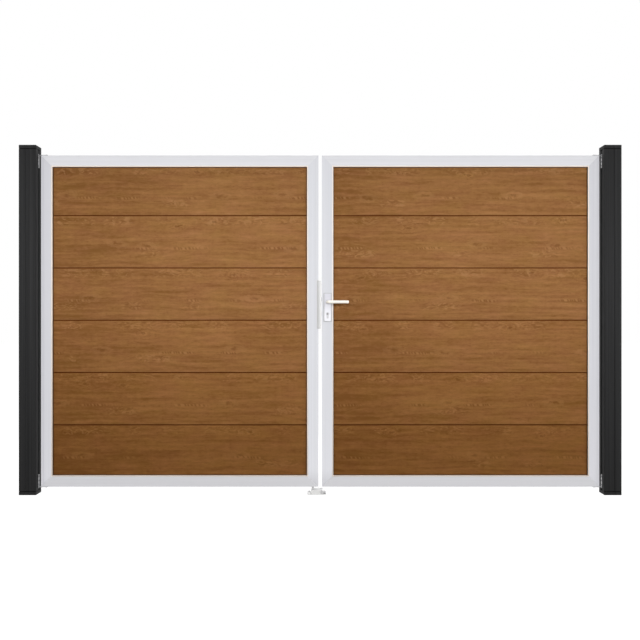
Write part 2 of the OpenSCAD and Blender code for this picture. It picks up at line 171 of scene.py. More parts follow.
def new_material(name, metallic=0.0, roughness=0.5, specular=0.5):
    """Gives the material, its node tree, its shader and the place on the object."""
    material = bpy.data.materials.new(name)
    material.use_nodes = True
    tree = material.node_tree
    shader = tree.nodes["Principled BSDF"]
    shader.inputs["Metallic"].default_value = metallic
    shader.inputs["Roughness"].default_value = roughness
    shader.inputs["Specular IOR Level"].default_value = specular
    return material, tree, shader, add(tree, "TexCoord").outputs["Object"]


def set_relief(tree, shader, height, depth):
    bump = add(tree, "Bump", Strength=1.0, Distance=depth, Height=height)
    put(tree, shader.inputs["Normal"], bump.outputs[0])


def drawn_metal(name, colour, lines, speckle, relief, turn=(0.0, 0.0, 0.0), painted_light_and_tints=(), **finish):
    """A coated or satin metal. The turn lays the lines, which run along Z, along the piece.

    Other colours: mostly painted light and shade, each with what tells where on the piece it shows.
    """
    material, tree, shader, position = new_material(name, **finish)
    for other_colour, where in painted_light_and_tints:
        colour = mixed(tree, where(tree, position), colour, other_colour)
    laid_along = add(tree, "Mapping", Vector=position, Rotation=turn).outputs[0]
    inputs = {"Position": laid_along, "Lines": lines, "Speckle": speckle}
    drawn = add(tree, "Group", {"node_tree": drawn_lines}, **inputs)
    tint = add(tree, "VectorMath", {"operation": "SCALE"}, Scale=drawn.outputs["Shade"])
    put(tree, tint.inputs[0], colour)
    put(tree, shader.inputs["Base Color"], tint.outputs[0])
    set_relief(tree, shader, drawn.outputs["Height"], relief)
    return material


def dress(node, material):
    nodes[node].data.materials.clear()
    nodes[node].data.materials.append(material)


end_h = 20 * MM
half_post_h = cad_high.z / 2


def shade_at_the_post_joints(tree, position):
    """Painted shade in the reveals between a post and its end pieces."""
    up = add(tree, "SeparateXYZ", Vector=position).outputs["Z"]
    from_middle = calc(tree, "ABSOLUTE", calc(tree, "SUBTRACT", up, half_post_h))
    away = calc(tree, "ABSOLUTE", calc(tree, "SUBTRACT", from_middle, half_post_h - end_h))
    return step_between(tree, away, 3.5 * MM, 2 * MM)


# The coat is painted near black in the reveals at the post's ends, as shade.
post_coat = drawn_metal(
    "post_coat", (0.026, 0.026, 0.0265), lines=0.9, speckle=0.5, relief=0.05 * MM,
    painted_light_and_tints=[((0.006, 0.006, 0.006), shade_at_the_post_joints)], roughness=0.65, specular=0.1,
)
for side in ("left", "right"):
    for part in ("post", "post_cap", "post_foot"):
        dress(f"{side}_{part}", post_coat)


# ---------------------------------------------------------------------------------------------
# Hinges: four brackets of satin steel. A strap is held in the post's channel by three pan-head
# screws, and an arm carries the pin that the leaf turns on, riveted over on its far side.
# ---------------------------------------------------------------------------------------------
def closed_copy(node):
    """The shape of a CAD node as one closed mesh, without the edges inside its flat faces."""
    bm = bmesh.new()
    bm.from_mesh(nodes[node].data)
    bmesh.ops.remove_doubles(bm, verts=bm.verts, dist=0.001 * MM)
    bmesh.ops.dissolve_limit(bm, angle_limit=math.radians(0.5), verts=bm.verts, edges=bm.edges)
    return bm


def ease_edges(bm, width, segments=2, edges=None):
    """Takes the sharpness off the outward edges."""
    if edges is None:
        edges = [e for e in bm.edges if e.is_convex and e.calc_face_angle(0.0) > math.radians(35)]
    bmesh.ops.bevel(
        bm, geom=edges, offset=width, affect="EDGES", segments=segments, profile=0.5,
        material=-1, clamp_overlap=True,
    )


def finish_piece(name, bm, material, body):
    """Makes a piece of the mesh. It rides on its body and takes the material given."""
    bmesh.ops.recalc_face_normals(bm, faces=bm.faces)
    mesh = bpy.data.meshes.new(name)
    bm.to_mesh(mesh)
    bm.free()
    mesh.shade_smooth()
    mesh.set_sharp_from_angle(angle=math.radians(40))
    mesh.materials.append(material)
    piece = bpy.data.objects.new(name, mesh)
    bpy.context.scene.collection.objects.link(piece)
    piece.modifiers.new("flat_faces", "WEIGHTED_NORMAL").keep_sharp = True
    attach(piece, body)
    return piece


def eased(node, width, material, bm=None):
    """A piece that stands for a CAD node: its shape, or the mesh given, with the edges eased."""
    bm = bm or closed_copy(node)
    ease_edges(bm, width)
    piece = finish_piece(node + "_eased", bm, material, nodes[node]["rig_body"])
    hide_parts(node)


def facing(place, direction):
    """Turns what was made upright at the origin to stand on place, facing that way."""
    turn = Vector((0, 0, 1)).rotation_difference(Vector(direction))
    return Matrix.Translation(place) @ turn.to_matrix().to_4x4()


def turned(bm, profile, place, direction, sides=32):
    """Turns a profile of (radius, height) points on a lathe and stands it on place."""
    before = set(bm.verts)
    points = [bm.verts.new((radius, 0.0, height)) for radius, height in profile]
    lines = [bm.edges.new(pair) for pair in zip(points, points[1:])]
    bmesh.ops.spin(
        bm, geom=points + lines, cent=(0, 0, 0), axis=(0, 0, 1), angle=math.tau, steps=sides,
        use_merge=True,
    )
    made = [v for v in bm.verts if v not in before]
    bmesh.ops.remove_doubles(bm, verts=made, dist=0.001 * MM)
    made = [v for v in bm.verts if v not in before]
    bmesh.ops.transform(bm, matrix=facing(place, direction), verts=made)


def rounding(radius, height, edge, steps=4):
    """The points of a disc's rounded upper rim, from its side to its top."""
    turns = [math.radians(90 * k / steps) for k in range(steps + 1)]
    return [(radius - edge * (1 - math.cos(a)), height - edge * (1 - math.sin(a))) for a in turns]


def screw_heads(name, places, direction, body, radius=4.5 * MM, height=2.6 * MM):
    """Pan-head screws with a round socket."""
    bm = bmesh.new()
    rim = rounding(radius, height, 0.7 * height)
    socket_r = 0.45 * radius
    socket = [(socket_r, height), (socket_r, 0.4 * height), (0, 0.3 * height)]
    for place in places:
        turned(bm, [(0, 0), (radius, 0), *rim, *socket], place, direction, sides=24)
    return finish_piece(name, bm, satin_steel, body)


satin_steel = drawn_metal(
    "satin_steel", (0.4, 0.4, 0.41), lines=0.15, speckle=0.08, relief=0.01 * MM,
    metallic=0.85, roughness=0.36,
)
half_strap_w = 9 * MM
strap_t = 4 * MM
first_screw = 18 * MM
screw_pitch = 22 * MM
arm_inset = 4 * MM
rivet_r = 5.5 * MM
rivet_h = 2 * MM
rivet_profile = [(0, 0), (rivet_r, 0), *rounding(rivet_r, rivet_h, 1.4 * MM), (0, rivet_h)]
for side, inwards in (("left", 1), ("right", -1)):
    for end, up in (("top", 1), ("bottom", -1)):
        hinge = f"{side}_{end}_hinge"
        low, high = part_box(hinge)
        eased(hinge, 0.5 * MM, satin_steel)
        strap_face = (low.x if inwards > 0 else high.x) + inwards * strap_t
        outer_z = high.z if up > 0 else low.z
        pin_x = (high.x if inwards > 0 else low.x) - inwards * half_strap_w
        arm_z = outer_z - up * arm_inset
        places = [(strap_face, 0, outer_z - up * (first_screw + k * screw_pitch)) for k in range(3)]
        screw_heads(hinge + "_screws", places, (inwards, 0, 0), "posts")
        rivet = bmesh.new()
        turned(rivet, rivet_profile, (pin_x, 0, arm_z), (0, 0, up))
        finish_piece(hinge + "_rivet", rivet, satin_steel, "posts")


# ---------------------------------------------------------------------------------------------
# Leaf frames: each leaf is four lengths of one hollow aluminium section, mitred at the corners
# and finished in satin silver. The meeting stiles are painted darker near the ground, as shade,
# the hinge stiles take a darker copy of the silver, painted as the shade beside the posts, and a
# groove runs down both faces of the hinge stiles. Bushes in the rails take the hinge pins.
# ---------------------------------------------------------------------------------------------
def score(bm, x, width, depth):
    """Sinks an upright line into the front and the back face of a bar."""
    for side_x in (x - width / 2, x + width / 2):
        geom = bm.verts[:] + bm.edges[:] + bm.faces[:]
        bmesh.ops.bisect_plane(bm, geom=geom, plane_co=(side_x, 0, 0), plane_no=(1, 0, 0))
    face_y = max(v.co.y for v in bm.verts)
    for way in (-1, 1):
        strip = [
            f for f in bm.faces
            if f.normal.y * way > 0.9
            and abs(f.calc_center_median().x - x) < width / 2
            and all(abs(v.co.y - way * face_y) < 0.01 * MM for v in f.verts)
        ]
        sunk = bmesh.ops.extrude_face_region(bm, geom=strip)["geom"]
        bmesh.ops.delete(bm, geom=strip, context="FACES")
        floor_verts = [g for g in sunk if isinstance(g, bmesh.types.BMVert)]
        bmesh.ops.translate(bm, vec=(0, -way * depth, 0), verts=floor_verts)


# The meeting stiles are painted darker near the ground, as shade.
def shaded_near_the_ground(tree, position):
    up = add(tree, "SeparateXYZ", Vector=position).outputs["Z"]
    return step_between(tree, up, 150 * MM, 50 * MM)


silver_upright = drawn_metal(
    "silver_upright", (0.705, 0.71, 0.745), lines=0.1, speckle=0.03, relief=0.01 * MM,
    painted_light_and_tints=[((0.6, 0.6, 0.63), shaded_near_the_ground)], metallic=0.92, roughness=0.42,
)
# The hinge stiles take a darker copy of the silver, painted as the shade beside the posts.
silver_hinge_side_shaded = drawn_metal(
    "silver_hinge_side_shaded", (0.655, 0.655, 0.69), lines=0.1, speckle=0.03, relief=0.01 * MM,
    metallic=0.92, roughness=0.42,
)
silver_level = drawn_metal(
    "silver_level", (0.74, 0.74, 0.768), lines=0.1, speckle=0.03, relief=0.01 * MM,
    turn=(0.0, math.radians(90), 0.0), metallic=0.4, roughness=0.42,
)
line_inset = 12 * MM
for side, inwards in (("left", 1), ("right", -1)):
    low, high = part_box(f"{side}_hinge_stile")
    hinge_stile = closed_copy(f"{side}_hinge_stile")
    outer_x = low.x if inwards > 0 else high.x
    score(hinge_stile, outer_x + inwards * line_inset, width=2.5 * MM, depth=1.2 * MM)
    eased(f"{side}_hinge_stile", 0.3 * MM, silver_hinge_side_shaded, hinge_stile)
    eased(f"{side}_meeting_stile", 0.5 * MM, silver_upright)
    for bar in ("top_rail", "bottom_rail"):
        eased(f"{side}_{bar}", 0.5 * MM, silver_level)
    dress(f"{side}_pivot_bushes", satin_steel)


# ---------------------------------------------------------------------------------------------
# Boards: six tongue-and-groove boards of wood composite in each leaf. Their faces are embossed
# and coloured like golden oak: streaks that flow round small knots, a row of short ticks below
# the middle and patches of curls. Each board shows another stretch of the same log.
# ---------------------------------------------------------------------------------------------
def window(tree, value, middle, half_width, soft):
    """1 where the value is within half_width of the middle, fading to 0 over soft."""
    away = calc(tree, "ABSOLUTE", calc(tree, "SUBTRACT", value, middle))
    return step_between(tree, away, half_width + soft, half_width)


def swing(tree, value, amount, base=0.0):
    """A noise value about its middle, times the amount, on top of the base."""
    return calc(tree, "MULTIPLY_ADD", calc(tree, "SUBTRACT", value, 0.5), amount, base)


def knot_row(tree, along, across, per_metre, middle, sway):
    """Knots in a row that sways about a height of the board.

    Gives how far the nearest one is, and how high above the row a point is, in metres. A knot is
    longer along the board than across it.
    """
    times_longer = 2.6
    settings = {"voronoi_dimensions": "1D"}
    cells = add(tree, "TexVoronoi", settings, W=along, Scale=per_metre, Randomness=0.9)
    beside = calc(tree, "DIVIDE", cells.outputs["Distance"], times_longer * per_metre)
    line = add(tree, "TexNoise", {"noise_dimensions": "1D"}, W=along, Scale=2.0, Detail=0.0)
    above = calc(tree, "SUBTRACT", across, swing(tree, line.outputs[0], sway, middle))
    squares = (calc(tree, "POWER", beside, 2.0), calc(tree, "MULTIPLY", above, above))
    distance = calc(tree, "SQRT", calc(tree, "ADD", *squares))
    on_the_face = add(tree, "CombineXYZ", X=along, Z=across).outputs[0]
    uneven = blotches(tree, on_the_face, (45.0, 0.0, 75.0), detail=2.0)
    return swing(tree, uneven, 30 * MM, distance), above


def strongest(tree, mark, *others):
    """The largest of the marks at a point."""
    for other in others:
        mark = calc(tree, "MAXIMUM", mark, other)
    return mark


def make_oak_grain():
    """Oak along X, its height centred. Tone is 0 where it is light, 1 where it is dark."""
    inputs = {"Position": (0.0, 0.0, 0.0), "Log": (0.0, 0.0, 0.0)}
    outputs = ("Tone", "Rosiness", "Dark_marks", "Pale_marks", "Height")
    tree, given, result = effect("oak_grain", inputs, outputs)
    place = calc_3d(tree, "ADD", given["Position"], given["Log"])
    along = add(tree, "SeparateXYZ", Vector=place).outputs["X"]
    local = add(tree, "SeparateXYZ", Vector=given["Position"]).outputs
    across = local["Z"]

    # Two rows of knots push the grain aside, and it wanders a little everywhere.
    upper, above_upper = knot_row(tree, along, across, 1.4, middle=92 * MM, sway=110 * MM)
    lower, above_lower = knot_row(tree, along, across, 1.6, middle=-30 * MM, sway=40 * MM)
    upper_pull = calc(tree, "MULTIPLY", above_upper, step_between(tree, upper, 45 * MM, 5 * MM))
    lower_pull = calc(tree, "MULTIPLY", above_lower, step_between(tree, lower, 30 * MM, 4 * MM))
    pull = calc(tree, "MULTIPLY", calc(tree, "ADD", upper_pull, lower_pull), -0.75)
    wander = blotches(tree, place, (2.5, 0.0, 5.0))
    aside = add(tree, "CombineXYZ", Z=swing(tree, wander, 30 * MM, pull)).outputs[0]
    bent = calc_3d(tree, "ADD", place, aside)

    # Each knot has a dark core. The upper ones have rings, the lower ones a pale halo.
    rings = calc(tree, "SINE", calc(tree, "MULTIPLY", upper, math.tau / (13 * MM)))
    rings = calc(tree, "MULTIPLY", rings, step_between(tree, upper, 34 * MM, 12 * MM))
    upper_core = step_between(tree, upper, 8 * MM, 3 * MM)
    lower_core = step_between(tree, lower, 9 * MM, 3 * MM)
    cores = calc(tree, "MAXIMUM", upper_core, lower_core)
    halo = window(tree, lower, 17 * MM, 2 * MM, 7 * MM)

    # The grain itself, from long bands and streaks down to fibres and pores.
    long_streaks = blotches(tree, bent, (2.4, 0.0, 50.0), detail=2.0)
    streaks = blotches(tree, bent, (8.0, 0.0, 56.0), detail=1.0)
    short_streaks = blotches(tree, bent, (30.0, 0.0, 72.0), detail=1.0)
    bands = blotches(tree, bent, (1.2, 0.0, 14.0))
    fibres = blotches(tree, bent, (30.0, 0.0, 380.0), detail=2.0)
    pores = step_between(tree, blotches(tree, bent, (60.0, 0.0, 800.0)), 0.58, 0.7)

    # Short slanted ticks stand in a row below the middle, on some stretches only.
    slanted = calc(tree, "MULTIPLY_ADD", across, 0.4, along)
    settings = {"voronoi_dimensions": "1D"}
    ticks = add(tree, "TexVoronoi", settings, W=slanted, Scale=60.0, Randomness=1.0)
    ticks = ticks.outputs["Distance"]
    tick_line = swing(tree, blotches(tree, place, (5.0, 0.0, 0.0)), 20 * MM, -42 * MM)
    above_line = calc(tree, "SUBTRACT", across, tick_line)
    tick_row = window(tree, above_line, 0.0, 4 * MM, 4 * MM)
    stretch = step_between(tree, blotches(tree, place, (4.2, 0.0, 0.0)), 0.48, 0.6)
    tick_row = calc(tree, "MULTIPLY", tick_row, stretch)
    dark_ticks = calc(tree, "MULTIPLY", step_between(tree, ticks, 0.22, 0.1), tick_row)
    pale_ticks = calc(tree, "MULTIPLY", step_between(tree, ticks, 0.3, 0.5), tick_row)

    # Curls are twisted noise, in patches near the top and the bottom of the board.
    curls = calc_3d(tree, "MULTIPLY", bent, (24.0, 0.0, 56.0))
    curls = add(tree, "TexNoise", Vector=curls, Scale=1.0, Detail=1.0, Distortion=1.8).outputs[0]
    upper_curls = calc(
        tree, "MULTIPLY", window(tree, across, 108 * MM, 14 * MM, 18 * MM),
        step_between(tree, blotches(tree, place, (5.0, 0.0, 0.0)), 0.42, 0.54),
    )
    lower_curls = calc(
        tree, "MULTIPLY", window(tree, across, -72 * MM, 12 * MM, 16 * MM),
        step_between(tree, blotches(tree, place, (3.0, 5.0, 0.0)), 0.52, 0.6),
    )
    curled = calc(tree, "MAXIMUM", upper_curls, lower_curls)
    pale_curls = calc(tree, "MULTIPLY", step_between(tree, curls, 0.52, 0.64), curled)
    dark_curls = calc(tree, "MULTIPLY", step_between(tree, curls, 0.46, 0.34), curled)

    tone = swing(tree, long_streaks, 1.1, 0.43)
    tone = swing(tree, streaks, 0.75, tone)
    tone = swing(tree, short_streaks, 0.5, tone)
    tone = swing(tree, bands, 0.45, tone)
    tone = swing(tree, fibres, 0.7, tone)
    tone = calc(tree, "MULTIPLY_ADD", pores, 0.35, tone)
    tone = calc(tree, "MULTIPLY_ADD", rings, 0.13, tone)
    darker_end = step_between(tree, local["X"], 0.05, -0.7)
    put(tree, result["Tone"], calc(tree, "MULTIPLY_ADD", darker_end, 0.3, tone))
    put(tree, result["Rosiness"], swing(tree, blotches(tree, place, (6.0, 0.0, 16.0)), 2.2, 0.5))
    softer_curls = calc(tree, "MULTIPLY", dark_curls, 0.7)
    put(tree, result["Dark_marks"], strongest(tree, dark_ticks, cores, softer_curls))
    softer_halo = calc(tree, "MULTIPLY", halo, 0.4)
    put(tree, result["Pale_marks"], strongest(tree, pale_ticks, pale_curls, softer_halo))
    put(tree, result["Height"], calc(tree, "SUBTRACT", fibres, pores))
    return tree


oak_grain = make_oak_grain()
light_oak = (0.355, 0.162, 0.053)
dark_oak = (0.2, 0.08, 0.02)
pale_oak = (0.43, 0.215, 0.085)
rosy_tint = (1.02, 0.985, 1.07)
golden_tint = (0.985, 1.015, 0.93)
knot_brown = (0.12, 0.042, 0.01)
seam_shade_brown = (0.115, 0.024, 0.001)
# Row tints, lowest board first: painted darker and warmer at the bottom, as shade, and bluer at the
# top, as a painted sheen.
row_shading_tints = (
    (0.9, 0.87, 0.78), (0.98, 0.98, 0.95), (1.0, 1.02, 1.08),
    (1.0, 1.04, 1.15), (1.0, 1.05, 1.16), (1.0, 1.05, 1.16),
)
pale_strength = 0.36
dark_strength = 0.35
visible_half_t = 9.2 * MM


def oak_board(name, low, high, stretch_of_log, row_shading):
    """Oak of one board. The tongue and the groove are painted dark brown, as shade in the seams."""
    material, tree, shader, position = new_material(name, roughness=0.6, specular=0.08)
    middle = (low + high) / 2
    centred = add(tree, "Mapping", {"vector_type": "TEXTURE"}, Vector=position, Location=middle)
    inputs = {"Position": centred.outputs[0], "Log": stretch_of_log}
    oak = add(tree, "Group", {"node_tree": oak_grain}, **inputs).outputs
    light_here, dark_here, pale_here = (
        tuple(part * shade for part, shade in zip(oak_colour, row_shading))
        for oak_colour in (light_oak, dark_oak, pale_oak)
    )
    face = mixed(tree, oak["Tone"], light_here, dark_here)
    tint = mixed(tree, oak["Rosiness"], golden_tint, rosy_tint)
    face = calc_3d(tree, "MULTIPLY", face, tint)
    pale_marks = calc(tree, "MULTIPLY", oak["Pale_marks"], pale_strength)
    face = mixed(tree, pale_marks, face, pale_here)
    dark_marks = calc(tree, "MULTIPLY", oak["Dark_marks"], dark_strength)
    face = mixed(tree, dark_marks, face, knot_brown)
    depth = add(tree, "SeparateXYZ", Vector=position).outputs["Y"]
    is_face = step_between(tree, calc(tree, "ABSOLUTE", depth), 5 * MM, visible_half_t - 0.5 * MM)
    put(tree, shader.inputs["Base Color"], mixed(tree, is_face, seam_shade_brown, face))
    set_relief(tree, shader, oak["Height"], 0.15 * MM)
    return material


metres_of_log = 3.17
for side, start in (("left", 0.0), ("right", 21.4)):
    for row, row_shading in enumerate(row_shading_tints):
        board = f"{side}_board_{row + 1}"
        stretch_of_log = (start + metres_of_log * row, 0.0, 0.0)
        dress(board, oak_board(f"oak_{board}", *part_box(board), stretch_of_log, row_shading))


# ---------------------------------------------------------------------------------------------
# Seals: on both faces of a leaf a slim pale bead is clipped along the inner edge of the frame,
# and a rubber gasket closes the corner between the frame and the boards. The gasket is coloured
# dark as painted shade in that corner.
# ---------------------------------------------------------------------------------------------
def rectangle_ring(bm, sides, width, depths, edge):
    """A strip of that width inside a rectangle, from one depth to the other, with soft edges."""
    low_x, high_x, low_z, high_z = sides
    near_y, far_y = depths
    corners = ((low_x, low_z), (high_x, low_z), (high_x, high_z), (low_x, high_z))
    sheet = bm.faces.new([bm.verts.new((x, near_y, z)) for x, z in corners])
    sheet.normal_update()
    strip = bmesh.ops.inset_region(
        bm, faces=[sheet], thickness=width, use_boundary=True, use_even_offset=True
    )["faces"]
    bmesh.ops.delete(bm, geom=[sheet], context="FACES")
    grown = bmesh.ops.extrude_face_region(bm, geom=strip, use_keep_orig=True)["geom"]
    moved = [g for g in grown if isinstance(g, bmesh.types.BMVert)]
    bmesh.ops.translate(bm, vec=(0, far_y - near_y, 0), verts=moved)
    top = {g for g in grown if isinstance(g, bmesh.types.BMFace)}
    rims = [e for f in top for e in f.edges if len([k for k in e.link_faces if k in top]) == 1]
    ease_edges(bm, edge, edges=rims)


def plain_finish(name, colour, patch, per_metre, amount, relief, roughness, specular):
    """A moulded or rubber finish: the colour drifts to the patch colour in blotches."""
    material, tree, shader, position = new_material(name, roughness=roughness, specular=specular)
    drift = blotches(tree, position, (per_metre,) * 3, detail=3.0, roughness=0.6)
    spread = calc(tree, "MULTIPLY", step_between(tree, drift, 0.35, 0.65), amount)
    put(tree, shader.inputs["Base Color"], mixed(tree, spread, colour, patch))
    fine = blotches(tree, position, (1500.0,) * 3, detail=2.0)
    set_relief(tree, shader, fine, relief)
    return material


pale_bead = plain_finish(
    "pale_bead", (0.95, 0.84, 0.74), (0.9, 0.79, 0.69), 25.0, 0.5, 0.01 * MM,
    roughness=0.5, specular=0.2,
)
# The gasket's dark colour is painted shade in the corner between frame and boards.
gasket_dark_as_shade = plain_finish(
    "gasket_dark_as_shade", (0.07, 0.038, 0.018), (0.055, 0.03, 0.014), 60.0, 0.5, 0.03 * MM,
    roughness=0.7, specular=0.1,
)
frame_face = 62 * MM
half_frame_d = 20 * MM
half_board_t = 10 * MM
bead_w = 6 * MM
bead_proud = 1 * MM
gasket_w = 3 * MM
gasket_h = 3 * MM
for side in ("left", "right"):
    low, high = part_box(f"{side}_top_rail")
    floor_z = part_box(f"{side}_bottom_rail")[0].z + frame_face
    opening = (low.x + frame_face, high.x - frame_face, floor_z, high.z - frame_face)
    around = (opening[0] - bead_w, opening[1] + bead_w, opening[2] - bead_w, opening[3] + bead_w)
    for face, way in (("front", -1), ("back", 1)):
        bead = bmesh.new()
        depths = (way * (half_frame_d - 1.2 * MM), way * (half_frame_d + bead_proud))
        rectangle_ring(bead, around, bead_w, depths, edge=0.8 * MM)
        finish_piece(f"{side}_{face}_bead", bead, pale_bead, f"{side}_leaf")
        gasket = bmesh.new()
        depths = (way * (half_board_t - 0.5 * MM), way * (half_board_t + gasket_h))
        rectangle_ring(gasket, opening, gasket_w, depths, edge=1 * MM)
        finish_piece(f"{side}_{face}_gasket", gasket, gasket_dark_as_shade, f"{side}_leaf")


# ---------------------------------------------------------------------------------------------
# Strike: a folded satin steel box on the edge of the left leaf. Its lip laps over the frame's
# face, and its pockets take the latch and the dead bolt. Three screws hold it.
# ---------------------------------------------------------------------------------------------
low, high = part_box("strike")


# The strike is painted darker on its left slope, as shade, and lighter from there on, as painted
# light.
def lit_right_of_the_slope(tree, position):
    across = add(tree, "SeparateXYZ", Vector=position).outputs["X"]
    return step_between(tree, across, low.x + 8 * MM, high.x - 3 * MM)


strike_steel = drawn_metal(
    "strike_steel", (0.58, 0.58, 0.58), lines=0.06, speckle=0.04, relief=0.01 * MM,
    painted_light_and_tints=[((0.8, 0.8, 0.79), lit_right_of_the_slope)], metallic=0.2, roughness=0.4,
)
eased("strike", 0.6 * MM, strike_steel)
heights = (low.z + 20 * MM, (low.z + high.z) / 2, high.z - 20 * MM)
places = [(high.x - 0.2 * MM, 0, z) for z in heights]
screw_heads("strike_screws", places, (1, 0, 0), "left_leaf", radius=4 * MM, height=0.5 * MM)


# ---------------------------------------------------------------------------------------------
# Lock: a stainless forend with its latch and dead bolt in the edge of the right leaf, held by
# two screws, and a nickel profile cylinder with a keyway and a turning plug on both faces.
# ---------------------------------------------------------------------------------------------
low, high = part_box("lock_cylinder")
plug_x = (low.x + high.x) / 2
plug_z = high.z - (high.x - low.x) / 2
plug_face = high.y


# The keyway is painted near black, as the shade inside it.
def shade_inside_the_keyway(tree, position):
    parts = add(tree, "SeparateXYZ", Vector=position).outputs
    off_axis = [calc(tree, "SUBTRACT", parts["X"], plug_x), calc(tree, "SUBTRACT", parts["Z"], plug_z)]
    squares = [calc(tree, "POWER", calc(tree, "ABSOLUTE", off), 2.0) for off in off_axis]
    away = calc(tree, "SQRT", calc(tree, "ADD", *squares))
    in_plug = step_between(tree, away, 6 * MM, 5.5 * MM)
    outwards = calc(tree, "ABSOLUTE", parts["Y"])
    deep = step_between(tree, outwards, plug_face - 0.1 * MM, plug_face - 0.4 * MM)
    return calc(tree, "MULTIPLY", in_plug, deep)


pale_nickel = drawn_metal(
    "pale_nickel", (0.7, 0.69, 0.71), lines=0.06, speckle=0.06, relief=0.01 * MM,
    painted_light_and_tints=[((0.02, 0.02, 0.02), shade_inside_the_keyway)], metallic=0.6, roughness=0.35,
)
eased("lock_forend", 0.4 * MM, pale_nickel)
eased("lock_cylinder", 0.5 * MM, pale_nickel)
low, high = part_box("lock_forend")
stile_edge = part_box("right_meeting_stile")[0].x
places = [(stile_edge + 0.1 * MM, 0, z) for z in (low.z + 9 * MM, high.z - 9 * MM)]
screw_heads("forend_screws", places, (-1, 0, 0), "right_leaf", radius=3.5 * MM, height=0.4 * MM)

ring_r = 6.6 * MM
ring_h = 0.3 * MM
ring_crown = [(ring_r - 0.5 * MM, ring_h), (ring_r - 0.2 * MM, ring_h)]
ring_foot = (ring_r - 0.7 * MM, 0)
ring_profile = [ring_foot, *ring_crown, (ring_r, 0), ring_foot]
for face, way in (("front", -1), ("back", 1)):
    ring = bmesh.new()
    turned(ring, ring_profile, (plug_x, way * plug_face, plug_z), (0, way, 0))
    finish_piece(f"{face}_cylinder_plug_ring", ring, satin_steel, "right_leaf")


# ---------------------------------------------------------------------------------------------
# Handles: a long plate with soft edges on each face of the right leaf, its grey underlay showing
# all round as painted shade about the plate, and a bent lever with an oval grip on a square
# spindle. Plates and levers are die-cast aluminium with a pale satin coat; a plate is painted
# darker by the lever, as shade, and lighter towards its foot, as painted light.
# ---------------------------------------------------------------------------------------------
def grow(bm, ring, move=(0, 0, 0), scale=None, about=None):
    """Extrudes an open ring of edges, moves the new one and scales it about a point."""
    made = bmesh.ops.extrude_edge_only(bm, edges=ring)["geom"]
    verts = [g for g in made if isinstance(g, bmesh.types.BMVert)]
    bmesh.ops.translate(bm, vec=move, verts=verts)
    if scale:
        centre = Matrix.Translation(-Vector(about))
        bmesh.ops.scale(bm, vec=scale, space=centre, verts=verts)
    return [g for g in made if isinstance(g, bmesh.types.BMEdge) and len(g.link_faces) == 1]


def bent_lever(name, node, way, material):
    """A round neck out of the plate, a quarter bend, and an oval grip with a domed tip."""
    low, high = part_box(node)
    half_neck = 9 * MM
    axis_x = low.x + half_neck
    axis_z = (low.z + high.z) / 2
    grip_y = (low.y + half_neck) if way < 0 else (high.y - half_neck)
    root_y = high.y if way < 0 else low.y
    neck_r = 7.8 * MM
    bend_r = 11 * MM
    bm = bmesh.new()
    # The neck stands out of the plate and bends towards the leaf's middle.
    stand = Matrix.Translation((axis_x, root_y, axis_z)) @ Matrix.Rotation(math.radians(90), 4, "X")
    root = bmesh.ops.create_circle(bm, cap_ends=False, segments=40, radius=neck_r, matrix=stand)
    ring = list({e for v in root["verts"] for e in v.link_edges})
    bm.faces.new(root["verts"])
    ring = grow(bm, ring, move=(0, grip_y - way * bend_r - root_y, 0))
    centre = (axis_x + bend_r, grip_y - way * bend_r, axis_z)
    corner = bmesh.ops.spin(
        bm, geom=ring, cent=centre, axis=(0, 0, 1), angle=-way * math.radians(90), steps=10
    )["geom_last"]
    ring = [g for g in corner if isinstance(g, bmesh.types.BMEdge)]
    # Past its shoulder the grip is oval, and tapers a little towards its tip.
    bend_end = Vector((axis_x + bend_r, grip_y, axis_z))
    shoulder = bend_end + Vector((16 * MM, 0, 0))
    ring = grow(bm, ring, shoulder - bend_end, (1, 1.03, 1.12), shoulder)
    dome_l = 6 * MM
    tip = Vector((high.x - dome_l, grip_y, axis_z))
    ring = grow(bm, ring, tip - shoulder, (1, 0.94, 0.98), tip)
    # The tip is domed in steps, down to a blunt end about half as wide as the grip.
    dome_steps = 4
    blunt = 0.55
    for k in range(1, dome_steps + 1):
        turn = math.radians(90 * k / dome_steps)
        before = math.radians(90 * (k - 1) / dome_steps)
        step = dome_l * (math.sin(turn) - math.sin(before))
        tip.x += step
        width, width_before = (blunt + (1 - blunt) * math.cos(angle) for angle in (turn, before))
        shrink = width / width_before
        ring = grow(bm, ring, (step, 0, 0), (1, shrink, shrink), tip)
    bmesh.ops.contextual_create(bm, geom=ring)
    piece = finish_piece(name, bm, material, "lever")
    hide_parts(node)


low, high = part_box("front_handle_plate")
plate_z = (low.z + high.z) / 2


# The plate is painted darker by the lever, as shade, and lighter towards its foot, as painted light.
def lit_below_the_lever(tree, position):
    up = add(tree, "SeparateXYZ", Vector=position).outputs["Z"]
    return step_between(tree, up, plate_z + 40 * MM, plate_z - 60 * MM)


plate_coat = drawn_metal(
    "plate_coat", (0.69, 0.685, 0.74), lines=0.03, speckle=0.04, relief=0.01 * MM,
    painted_light_and_tints=[((0.93, 0.93, 0.97), lit_below_the_lever)], metallic=0.6, roughness=0.32,
)
lever_coat = drawn_metal(
    "lever_coat", (1.0, 0.965, 0.87), lines=0.03, speckle=0.04, relief=0.01 * MM,
    metallic=0.4, roughness=0.32,
)
